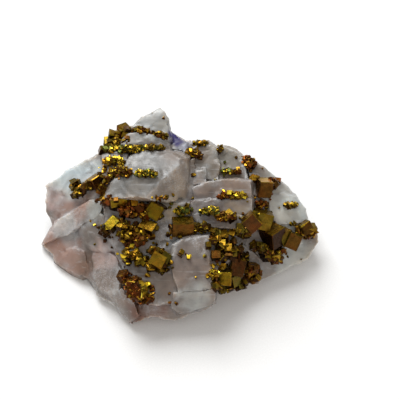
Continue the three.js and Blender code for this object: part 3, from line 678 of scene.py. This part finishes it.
# Thick growths of tiny crystals on each cluster: first the usual size of its grains in millimetres, then for
# each growth x and y of its middle's pixel, its reach across and up in millimetres and how many crystals.
DRUSE = {
    "centre_left_cluster": (
        0.85, (134, 209, 3.4, 2.2, 60), (132, 237, 4.0, 2.0, 60), (130, 253, 2.4, 2.0, 36),
        (107, 200, 2.6, 1.2, 26), (162, 198, 2.0, 0.5, 10), (124, 226, 1.5, 2.0, 20),
        (110, 234, 2.6, 0.9, 30),
    ),
    "front_left_cluster": (
        0.62, (134, 288, 2.2, 3.0, 90), (126, 276, 1.4, 1.4, 36), (143, 301, 3.0, 0.8, 36),
        (151, 292, 0.8, 1.8, 16),
    ),
    "lower_left_cluster": (1.0, (147, 262, 3.0, 1.6, 30), (160, 251, 1.6, 0.8, 10)),
    "left_shoulder_cluster": (0.6, (113, 161, 2.5, 1.2, 90), (119, 173, 2.9, 1.6, 120)),
    "upper_ledge_cluster": (0.55, (132, 149, 5.4, 0.9, 150), (154, 148, 2.2, 0.6, 40)),
    "great_block_cluster": (0.5, (147, 174, 2.5, 1.0, 90)),
    "peak_cluster": (0.7, (142, 130, 2.2, 0.6, 30), (156, 134, 2.6, 0.45, 30), (116, 139, 3.4, 1.8, 60)),
    "left_wing_cluster": (0.8, (80, 190, 2.2, 1.4, 36), (98, 184, 2.2, 1.4, 30)),
    "saddle_cluster": (1.0, (180, 234, 3.4, 0.7, 18), (203, 228, 2.6, 1.0, 34)),
    "hollow_cluster": (0.7, (183, 212, 1.6, 0.8, 26)),
    "third_step_cluster": (0.7, (211, 211, 2.2, 0.7, 36), (226, 217, 2.6, 0.9, 44)),
    "second_step_cluster": (0.7, (232, 195, 3.4, 0.8, 60)),
    "top_step_cluster": (0.6, (231, 171, 2.2, 0.6, 36)),
    "notch_cluster": (0.7, (192, 152, 2.0, 1.0, 40)),
    "top_edge_cluster": (0.45, (200, 142, 1.8, 0.4, 26)),
    "top_right_crystal": (0.6, (220, 148, 0.8, 1.0, 6)),
    "right_rim_cluster": (0.7, (248, 161, 1.6, 1.2, 26)),
    "right_shoulder_cluster": (1.0, (254, 178, 1.4, 0.7, 10), (272, 183, 1.6, 1.4, 18)),
    "right_shoulder_small_cluster": (0.7, (262, 206, 1.4, 0.9, 24)),
    "right_corner_cluster": (0.6, (289, 205, 1.4, 0.5, 16)),
    "right_cluster": (
        1.0, (262, 248, 3.4, 1.2, 44), (278, 256, 2.6, 2.0, 32), (243, 232, 3.0, 1.2, 44),
        (296, 224, 1.6, 0.5, 10), (284, 238, 2.0, 1.8, 20), (308, 232, 2.4, 1.6, 22),
    ),
    "front_right_cluster": (
        1.0, (225, 246, 4.4, 2.6, 80), (213, 236, 0.8, 2.2, 14), (226, 262, 3.2, 1.6, 34),
        (234, 286, 5.4, 1.6, 50), (252, 272, 2.2, 2.0, 36), (213, 274, 1.6, 2.4, 20),
    ),
}

# Lone specks on the matrix: x and y of their pixel, size in millimetres.
SPECKS = [
    (163, 118, 0.8), (100, 168, 0.7), (133, 174, 0.5), (158, 174, 0.5), (129, 199, 0.5), (167, 197, 0.7),
    (174, 195, 1.0), (172, 204, 0.9), (166, 209, 0.7), (105, 208, 0.5), (116, 210, 0.5), (122, 213, 1.0),
    (91, 221, 0.5), (95, 225, 0.6), (99, 227, 0.9), (95, 244, 0.6), (105, 240, 1.0), (112, 247, 0.8),
    (118, 254, 0.7), (153, 243, 0.7), (157, 245, 0.7), (168, 244, 0.8), (148, 276, 1.1), (173, 268, 0.6),
    (196, 277, 0.5), (170, 294, 0.8), (170, 302, 0.7), (176, 303, 0.7), (193, 175, 1.1), (193, 198, 0.8),
    (216, 180, 1.0), (225, 162, 0.7), (236, 158, 0.7), (250, 171, 0.9), (255, 198, 0.8), (262, 169, 0.5),
    (247, 202, 0.6), (270, 200, 0.7), (271, 212, 0.7), (279, 208, 0.5), (301, 259, 0.5), (181, 254, 1.5),
    (190, 257, 1.6), (205, 257, 1.0), (152, 198, 0.6), (156, 201, 0.6), (160, 200, 0.6), (164, 198, 0.6),
    (163, 199, 0.4), (165, 198, 0.5), (186, 254, 0.5), (104, 224, 0.5), (125, 267, 0.6), (240, 218, 0.7),
    (236, 213, 0.6), (243, 214, 0.6),
]

# Places where crowded smaller crystals stand for the larger blocks: pixel, radius in pixels.
BROKEN_UP = [((120, 140), 26), ((135, 207), 13), ((228, 251), 14), ((78, 192), 11)]
CROWD = 9  # how many stand for one block

CRUST_EDGE = 2.45 * MM  # blocks shorter than this stand for a crust of finer crystals
BARE_EDGE = 2.9 * MM  # blocks longer than this have no tiny crystals strewn on them
CRUSTED = ["front_left_cluster"]  # except in these clusters
COMPANIONS = 16  # places tried for small crystals round the foot of such a block
COMPANION_GAP = 1.3 * MM  # the matrix has to be nearer to such a place than this
COMPANION_HEIGHT = 0.6 * MM  # and higher than this
STREWN_HEIGHT = 0.5 * MM  # strewn crystals lie higher than this
BARE_MARGIN = 0.3 * MM  # and further than this in front of bare sides

FIRST_SEED, SPECK_SEED = 100, 77

# ---- finding the crystals in the solids ----

LEAST_SHOWN = 0.8 * MM**2  # a crystal shows at least this area
LEAST_SHOWN_SHARE = 0.4  # and this share of its own
BURIED_LEAST, BURIED_MOST = 0.3 * MM, 1.2 * MM  # how far a crystal goes on where it is hidden
FOOT_GAP = 0.7 * MM  # a side that has the matrix nearer than this in front of it is a foot


def same_crystal(edge):
    """Whether two faces meet as the faces of one block do: flat, or over an outward right angle."""
    if len(edge.link_faces) != 2:
        return False
    a, b = edge.link_faces
    cosine = a.normal.dot(b.normal)
    return cosine > 0.99999 or (abs(cosine) < 0.001 and edge.is_convex)


def crystal_groups(work):
    """Faces of a cluster in groups that belong to one crystal each."""
    work.faces.index_update()
    taken = {f.index for f in work.faces if f.calc_area() < 1e-10}
    groups = []
    for face in work.faces:
        if face.index in taken:
            continue
        taken.add(face.index)
        group = [face]
        for here in group:
            for other in (f for edge in here.edges if same_crystal(edge) for f in edge.link_faces):
                if other.index not in taken:
                    taken.add(other.index)
                    group.append(other)
        groups.append(group)
    return groups


class Block:
    """A box in the world, by its centre, its turn and half of its lengths."""

    def __init__(self, centre, turn, half):
        self.centre = centre
        self.turn = turn
        self.half = half
        self.longest = 2 * max(half)
        self.chosen = {}  # the painted light and shade that chosen faces give to its sides

    def at(self, spot):
        """The place of a spot given in metres along the block's own axes."""
        return self.centre + self.turn @ Vector(spot)

    def within(self, shares):
        """The place of a spot given in shares of the half lengths."""
        return self.at([share * h for share, h in zip(shares, self.half)])

    def anywhere(self, rng, share):
        """A random place within a share of the half lengths."""
        return self.within([rng.uniform(-share, share) for _ in range(3)])


def area_of(faces):
    return sum(f.calc_area() for f in faces)


def widest(faces):
    """The way that the largest of some faces looks."""
    return max(faces, key=lambda f: f.calc_area()).normal.copy()


def faces_matrix(face):
    hit = matrix_tree.ray_cast(face.calc_center_median(), face.normal, FOOT_GAP)
    return hit[0] is not None


def block_of(group):
    """The block that faces belong to, or None for a broken underside."""
    seen = [f for f in group if not faces_matrix(f)]
    if area_of(seen) < LEAST_SHOWN or area_of(seen) < LEAST_SHOWN_SHARE * area_of(group):
        return None
    first = widest(seen)
    square_on = [f for f in seen if abs(f.normal.dot(first)) < 0.002]
    if not square_on:
        return None
    second = widest(square_on)
    second = (second - first * second.dot(first)).normalized()
    axes = [first, second, first.cross(second)]
    seen = [f for f in seen if max(abs(f.normal.dot(a)) for a in axes) > 0.9999]
    corners = [v.co for f in seen for v in f.verts]
    spans = []
    for axis in axes:
        along = [c.dot(axis) for c in corners]
        spans.append([min(along), max(along)])
    longest = max(high - low for low, high in spans)
    for axis, span in zip(axes, spans):
        for side, sign in ((0, -1), (1, 1)):
            if not any(f.normal.dot(axis) * sign > 0.99 for f in seen):
                room = longest - (span[1] - span[0])
                span[side] += sign * min(max(room, BURIED_LEAST), BURIED_MOST)
    centre = sum((axis * (low + high) / 2 for axis, (low, high) in zip(axes, spans)), Vector())
    return Block(centre, Matrix(axes).transposed(), [(high - low) / 2 for low, high in spans])


def blocks_in(node):
    work = welded(SOLIDS[node].data)
    work.normal_update()
    blocks = [b for b in map(block_of, crystal_groups(work)) if b]
    work.free()
    return blocks


# ---- building crystals ----

SIDES = list(product(range(3), (-1, 1)))  # axis and sign of each side of a block
CORNERS = list(product((-1, 1), repeat=3))
RING = [(-1, -1), (1, -1), (1, 1), (-1, 1)]  # signs of a side's corners on the two other axes, going round

CORNER_WEAR = (1, 1, 1, 1, 1, 1, 2.5, 4)  # how much more than usual a corner is worn, by chance
TERRACES = (1, 2, 2, 3)  # growth steps on a side, by chance
TERRACE_RISE = (0.025 * MM, 0.07 * MM)
SIDE_MARGIN = 0.93  # a step at a side's edge ends here, as a share of the half length
LEAST_STEP = 0.4  # and steps narrower than this are left out


def other_axes(axis):
    return [k for k in range(3) if k != axis]


def on_axes(axes, values):
    """Three numbers, each value on its axis."""
    return tuple(value for _, value in sorted(zip(axes, values)))


def block_faces():
    """Sides, edges and corners of a worn block, as keys of corners, each with the sides that it borders."""
    faces = []
    for axis, sign in SIDES:
        a, b = other_axes(axis)
        ring = [(on_axes((axis, a, b), (sign, sa, sb)), axis) for sa, sb in RING]
        faces.append((ring, [(axis, sign)]))
    for a, b in ((0, 1), (1, 2), (0, 2)):
        c = 3 - a - b
        for sa, sb in product((-1, 1), repeat=2):
            low, high = [on_axes((a, b, c), (sa, sb, sc)) for sc in (-1, 1)]
            faces.append(([(low, a), (low, b), (high, b), (high, a)], [(a, sa), (b, sb)]))
    for signs in CORNERS:
        faces.append(([(signs, side) for side in range(3)], list(enumerate(signs))))
    return faces


BLOCK_FACES = block_faces()


class Growth:
    """Gathers the crystals of one piece, with a tint for every face."""

    def __init__(self, rng):
        self.rng = rng
        self.corners = []
        self.faces = []
        self.tints = []

    def add_block(self, block, tints, worn=0.05, cut=0.0):
        """Adds a block, with a tint for each side.

        worn and cut are the shares of the shortest half length taken off every edge and off four corners.
        """
        rng = self.rng
        shortest = min(block.half)
        corners = {}  # keyed by the signs of the corner and the axis of the side that each lies on
        for signs in CORNERS:
            wear = rng.choice(CORNER_WEAR)
            width = shortest * worn * rng.uniform(0.6, 1.3) * wear
            if math.prod(signs) > 0:
                width += shortest * cut * rng.uniform(0.6, 0.8)
            for side in range(3):
                reach = [h if axis == side else h - width for axis, h in enumerate(block.half)]
                corners[signs, side] = Vector([sign * r for sign, r in zip(signs, reach)])
        number = {key: len(self.corners) + i for i, key in enumerate(corners)}
        self.corners += [block.at(corner) for corner in corners.values()]
        for ring, borders in BLOCK_FACES:
            points = [corners[key] for key in ring]
            outward = (points[1] - points[0]).cross(points[2] - points[0])
            if outward.dot(points[0]) < 0:
                ring = ring[::-1]
            self.faces.append([number[key] for key in ring])
            self.tints.append(max((tints[border] for border in borders), key=sum))

    def add_terraces(self, block, tints):
        """Lays thin growth steps, which are notched plates, on the sides of a block."""
        rng = self.rng
        for axis, sign in SIDES:
            level = block.half[axis]
            for _ in range(rng.choice(TERRACES)):
                rise = rng.uniform(*TERRACE_RISE)
                spans = [sorted(rng.uniform(-0.9, 0.9) for _ in range(2)) for _ in range(2)]
                for span in spans:
                    if rng.random() < 0.6:
                        end = 0 if rng.random() < 0.5 else 1
                        span[end] = (-SIDE_MARGIN, SIDE_MARGIN)[end]
                if min(high - low for low, high in spans) < LEAST_STEP:
                    continue
                cut_a, cut_b = [high - (high - low) * rng.uniform(0.15, 0.5) for low, high in spans]
                (low_a, high_a), (low_b, high_b) = spans
                outline = [(low_a, low_b), (high_a, low_b), (high_a, cut_b)]
                outline += [(cut_a, cut_b), (cut_a, high_b), (low_a, high_b)]
                self.add_plate(block, (axis, sign), outline, level, rise, tints[axis, sign])
                level += rise * 0.6

    def add_plate(self, block, side, outline, level, rise, tint):
        axis, sign = side
        a, b = other_axes(axis)

        def at(point, height):
            spot = (sign * height, point[0] * block.half[a], point[1] * block.half[b])
            return block.at(on_axes((axis, a, b), spot))

        change = self.rng.uniform(0.8, 1.2)
        shade = tuple(c * change for c in tint)
        start = len(self.corners)
        count = len(outline)
        self.corners += [at(p, level + rise) for p in outline] + [at(p, level - rise) for p in outline]
        top = list(range(start, start + count))
        low = list(range(start + count, start + 2 * count))
        walls = [[low[i], low[j], top[j], top[i]] for i, j in enumerate([*range(1, count), 0])]
        handed = 1 if (sign > 0) != (axis == 1) else -1
        self.faces += [ring[::handed] for ring in (top, low[::-1], *walls)]
        self.tints += [shade] * (2 + count)

    def mesh(self, name):
        made = bpy.data.meshes.new(name)
        made.from_pydata(self.corners, [], self.faces)
        shown = [(*tint, 1) for tint, face in zip(self.tints, self.faces) for _ in face]
        paint(made, "tint", np.array(shown), "CORNER")
        made.validate()
        return made


def pixels_away(place, pixel):
    """How far from a pixel of the picture a place in the world is seen."""
    sight = place - EYE
    depth = -sight.dot(ALONG_W) * SENSOR / LENS / PICTURE
    px = PICTURE / 2 + sight.dot(ALONG_U) / depth
    py = PICTURE / 2 - sight.dot(ALONG_V) / depth
    return math.hypot(pixel[0] - px, pixel[1] - py)


def pixels_in(table):
    """Pairs of a pixel and its name, from lists of pixels by name."""
    return [(pixel, name) for name, pixels in table.items() for pixel in pixels]


TARNISH_AND_SHADE_PIXELS = pixels_in(TARNISH_AND_SHADE_PLACES)


def side_tints(block, rng):
    """A colour for each side of a block: its tarnish by its place, and painted light and shade by the way
    that the side looks.
    """
    tarnish = min(TARNISH_AND_SHADE_PIXELS, key=lambda spot: pixels_away(block.centre, spot[0]))[1]
    names = rng.choice(TARNISH_LIGHT_AND_SHADE_SETS[tarnish])
    tints = {}
    for axis, sign in SIDES:
        # Sides that look up take the lit tint and sides that look down the shaded one: painted light and
        # shade.
        up = (block.turn.col[axis] * sign).dot(ALONG_V)
        name = names[0] if up > 0.25 else names[2] if up < -0.35 else names[1]
        change = rng.uniform(0.75, 1.25)
        tints[axis, sign] = tuple(c * change for c in BRASS[name])
    return tints


def block_tree(blocks):
    """A search tree over the sides of blocks, in the order of the blocks and of SIDES."""
    corners, faces = [], []
    for block, (axis, sign) in product(blocks, SIDES):
        faces.append(range(len(corners), len(corners) + len(RING)))
        axes = (axis, *other_axes(axis))
        corners += [block.within(on_axes(axes, (sign, *signs))) for signs in RING]
    return BVHTree.FromPolygons(corners, faces)


def choose_tints(blocks):
    """Notes the painted light and shade of the sides that the sight lines through the chosen face pixels
    meet.
    """
    tree = block_tree(blocks)
    for pixel, name in pixels_in(FACES_WITH_PAINTED_LIGHT):
        hit = tree.ray_cast(EYE, sight_line(*pixel))[2]
        if hit is not None:
            block, side = divmod(hit, len(SIDES))
            blocks[block].chosen[SIDES[side]] = BRASS[name]


def strew(growth, middle_x, middle_y, across, up, count, grain, bare_tree):
    """Strews tiny crystals on what is seen round a pixel, except on the sides in bare_tree."""
    rng = growth.rng
    for _ in range(count):
        angle = rng.uniform(0, 2 * math.pi)
        reach = math.sqrt(rng.random())
        px = middle_x + math.cos(angle) * reach * across * PIXELS_PER_MM
        py = middle_y + math.sin(angle) * reach * up * PIXELS_PER_MM
        sight = sight_line(px, py)
        spot, normal, _, _ = support_tree.ray_cast(EYE, sight)
        bare = bare_tree.ray_cast(EYE, sight)[3]
        if spot is None or spot.z < STREWN_HEIGHT or bare and bare < (spot - EYE).length + BARE_MARGIN:
            continue
        size = grain * (0.6 + 1.1 * rng.random() ** 2) * MM
        add_grain(growth, spot - normal * size * rng.uniform(0.0, 0.2), size)


def add_grain(growth, centre, size):
    """Adds a small crystal: a cube, or one with four of its corners cut as a disphenoid has them."""
    rng = growth.rng
    axis = Vector([rng.gauss(0, 1) for _ in range(3)]).normalized()
    turn = Matrix.Rotation(rng.uniform(0, math.pi), 3, axis)
    block = Block(centre, turn, [size / 2 * rng.uniform(0.75, 1.2) for _ in range(3)])
    cut = rng.choice((0, 0, 0.6, 1.2))
    growth.add_block(block, side_tints(block, rng), rng.uniform(0.06, 0.14), cut)


def crystal_piece(growth, name, material):
    """The piece made of all the crystals that were gathered."""
    piece = add_object(name, growth.mesh(name))
    piece.data.materials.append(material)
    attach(piece, "root")
    return piece


def make_cluster(node, blocks, bare_tree, material, seed):
    growth = Growth(random.Random(seed))
    grain, *growths = DRUSE[node]
    for block in blocks:
        tints = {**side_tints(block, growth.rng), **block.chosen}
        if block.longest <= CRUST_EDGE:
            add_crust(growth, block, tints, grain)
        elif any(pixels_away(block.centre, pixel) < radius for pixel, radius in BROKEN_UP):
            add_crowd(growth, block)
        else:
            for part in crystals_along(block, growth.rng):
                growth.add_block(part, tints)
                growth.add_terraces(part, tints)
            if block.longest > BARE_EDGE:
                add_companions(growth, block)
    for spot in growths:
        strew(growth, *spot, grain, bare_tree)
    piece = crystal_piece(growth, node + "_crystals", material)
    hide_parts(node)


def add_crust(growth, block, tints, grain):
    """Adds a small crystal inside a block and fills the rest of the block up with grains."""
    rng = growth.rng
    small = rng.uniform(0.55, 0.85) * min(1, grain + 0.15)
    growth.add_block(Block(block.centre, block.turn, [h * small for h in block.half]), tints, worn=0.08)
    for _ in range(round(min(26, 5 + 0.5 * (block.longest / MM / grain) ** 3))):
        add_grain(growth, block.anywhere(rng, 0.9), rng.uniform(0.6, 1.4) * grain * MM)


def add_crowd(growth, block):
    """Adds a crowd of crystals in place of a block."""
    rng = growth.rng
    for _ in range(CROWD):
        add_grain(growth, block.anywhere(rng, 0.5), rng.uniform(0.8, 1.4) * max(block.half))


def crystals_along(block, rng):
    """The near-cubes that a long block is made of."""
    half = block.half
    longest = max(half)
    lengthwise = half.index(longest)
    count = max(1, round(longest / sorted(half)[1]))
    parts = []
    for i in range(count):
        shares = [0, 0, 0]
        shares[lengthwise] = (2 * i + 1) / count - 1
        part = [h * rng.uniform(0.86, 1.0) if count > 1 else h for h in half]
        part[lengthwise] = longest / count * 1.02
        parts.append(Block(block.within(shares), block.turn, part))
    return parts


def add_companions(growth, block):
    """Adds small crystals on the matrix round the foot of a large one."""
    rng = growth.rng
    for _ in range(COMPANIONS):
        reach = [(h + rng.uniform(-0.5, 0.7) * MM) * rng.uniform(0.3, 1) for h in block.half]
        spot = block.at([rng.choice((-1, 1)) * r for r in reach])
        ground, normal, _, distance = matrix_tree.find_nearest(spot)
        if distance < COMPANION_GAP and ground.z > COMPANION_HEIGHT:
            size = rng.uniform(0.5, 1.3) * MM
            add_grain(growth, ground + normal * (0.35 * MM + size * 0.2), size)


def make_specks(material):
    growth = Growth(random.Random(SPECK_SEED))
    for px, py, size in SPECKS:
        spot, normal, _, _ = matrix_tree.ray_cast(EYE, sight_line(px, py))
        if spot is None:
            continue
        for _ in range(2):
            nudge = Vector([growth.rng.uniform(-0.3, 0.3) * size * MM for _ in range(3)])
            add_grain(growth, spot + nudge + normal * 0.1 * MM, size * 0.75 * MM)
    crystal_piece(growth, "matrix_specks", material)


# ---- floor and light ----

FLOOR_REACH = 3  # metres from the middle to each side
FLOOR_GAP = 0.02 * MM  # keeps it just below the specimen's underside


def make_floor():
    mesh = bpy.data.meshes.new("floor")
    mesh.from_pydata([(sx * FLOOR_REACH, sy * FLOOR_REACH, 0) for sx, sy in RING], [], [range(4)])
    floor = add_object("floor", mesh)
    floor.location.z = -FLOOR_GAP
    shade = Shader("pale paper")
    grain = shade.noise(0.4, 3)
    shade.set(
        Base_Color=shade.ramp(grain, (0.3, linear(236, 236, 235)), (0.7, linear(242, 242, 241))),
        Roughness=0.8,
        Normal=shade.bump(grain, 0.1, 0.05),
    )
    mesh.materials.append(shade.material)


def make_light(name, place, size, power, colour):
    """A square lamp that looks at the specimen."""
    lamp = bpy.data.lights.new(name, "AREA")
    lamp.size = size
    lamp.energy = power
    lamp.color = colour
    light = add_object(name, lamp)
    light.location = place
    light.rotation_euler = (-Vector(place)).to_track_quat("-Z", "Y").to_euler()


def make_studio():
    world = bpy.data.worlds.new("studio")
    world.use_nodes = True
    sky = world.node_tree.nodes["Background"]
    sky.inputs["Color"].default_value = (1.0, 0.99, 0.975, 1)
    sky.inputs["Strength"].default_value = 0.5
    bpy.context.scene.world = world
    make_light("window", (-0.2, 0.5, 0.58), size=0.5, power=7.0, colour=(0.97, 0.985, 1.0))
    make_light("warm fill", (0.1, -0.55, 0.25), size=0.5, power=0.8, colour=(1.0, 0.86, 0.76))


bpy.context.scene.view_settings.view_transform = "Standard"
make_camera()
make_floor()
make_studio()
make_matrix()
brass = brass_material()
blocks = {node: blocks_in(node) for node in CLUSTERS}
choose_tints([b for node in CLUSTERS for b in blocks[node]])
large = [b for node in CLUSTERS if node not in CRUSTED for b in blocks[node] if b.longest > BARE_EDGE]
bare_tree = block_tree(large)
for number, node in enumerate(CLUSTERS):
    make_cluster(node, blocks[node], bare_tree, brass, FIRST_SEED + number)
make_specks(brass)
